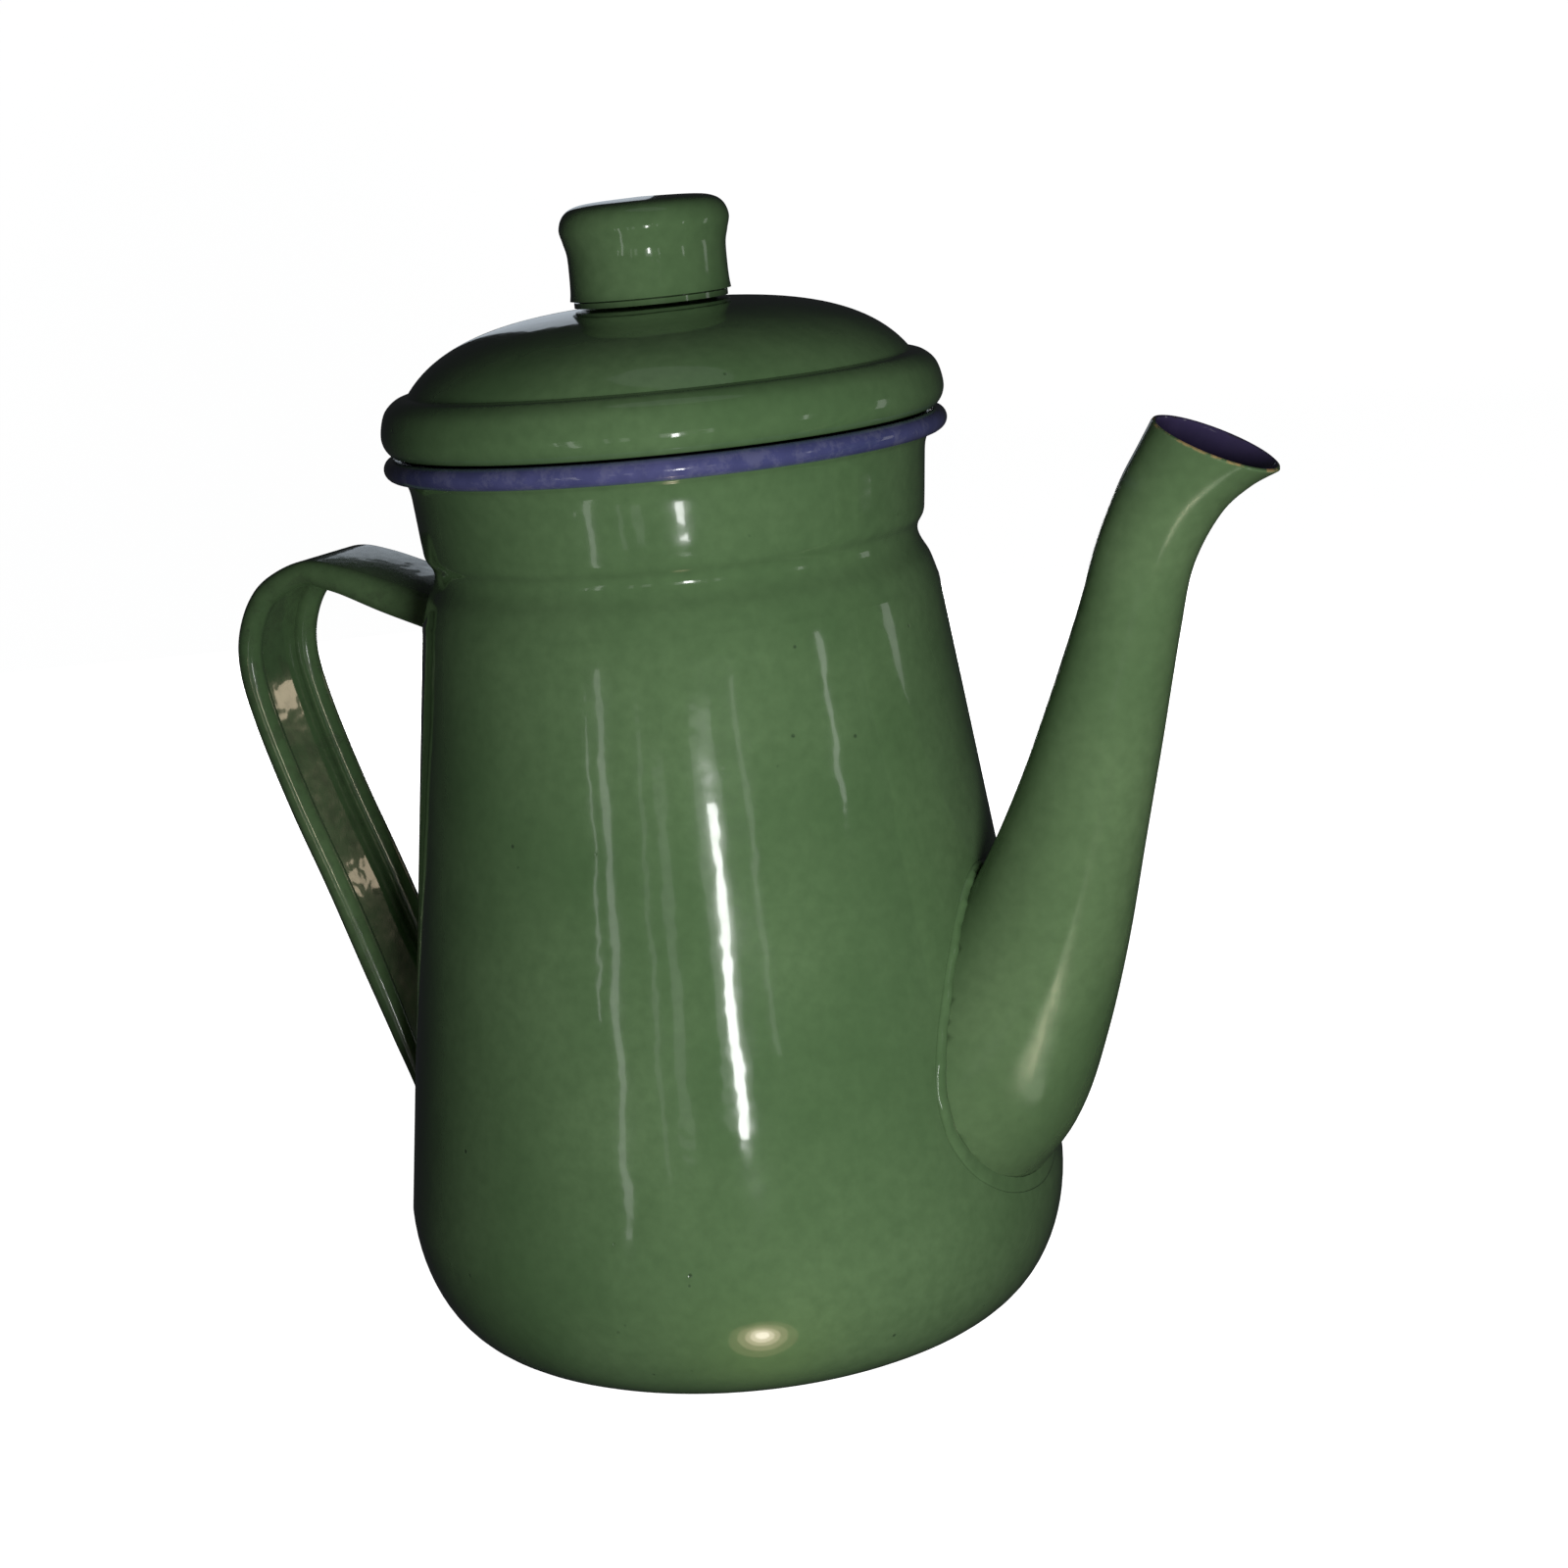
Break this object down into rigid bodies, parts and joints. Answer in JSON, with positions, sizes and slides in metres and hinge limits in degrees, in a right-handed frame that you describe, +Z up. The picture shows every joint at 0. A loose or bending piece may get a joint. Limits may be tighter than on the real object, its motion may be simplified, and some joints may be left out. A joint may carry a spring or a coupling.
{
  "type": "enamel coffee pot",
  "caption": "Enamelled steel coffee pot with a tapering body, long side spout, strap handle and a loose domed lid with a hollow knob.",
  "frame": {"origin": "middle of the flat underside, on the body's own axis", "axes": "+Z up the body's axis, +X towards the spout, the handle on -X, +Y to the left of someone looking along +X"},
  "size_m": [0.2145, 0.1304, 0.217],
  "materials": {
    "body_enamel": "glossy vitreous enamel on steel sheet, green",
    "rim_enamel": "glossy vitreous enamel on a rolled steel edge, violet blue",
    "inside_enamel": "glossy vitreous enamel on steel sheet, dark ground coat"
  },
  "bodies": {
    "pot": {"body_wall": "body_enamel", "base_pan": "body_enamel", "rim_bead": "rim_enamel", "spout_tube": "body_enamel", "handle_strap": "body_enamel"},
    "lid": {"lid_shell": "body_enamel", "lid_collar": "inside_enamel", "knob_neck": "body_enamel", "knob_cap": "body_enamel"}
  },
  "joints": [
    {"name": "lid_lift", "type": "slide", "parent": "pot", "child": "lid", "axis": [0, 0, 1], "range_m": [0, 0.12]}
  ]
}
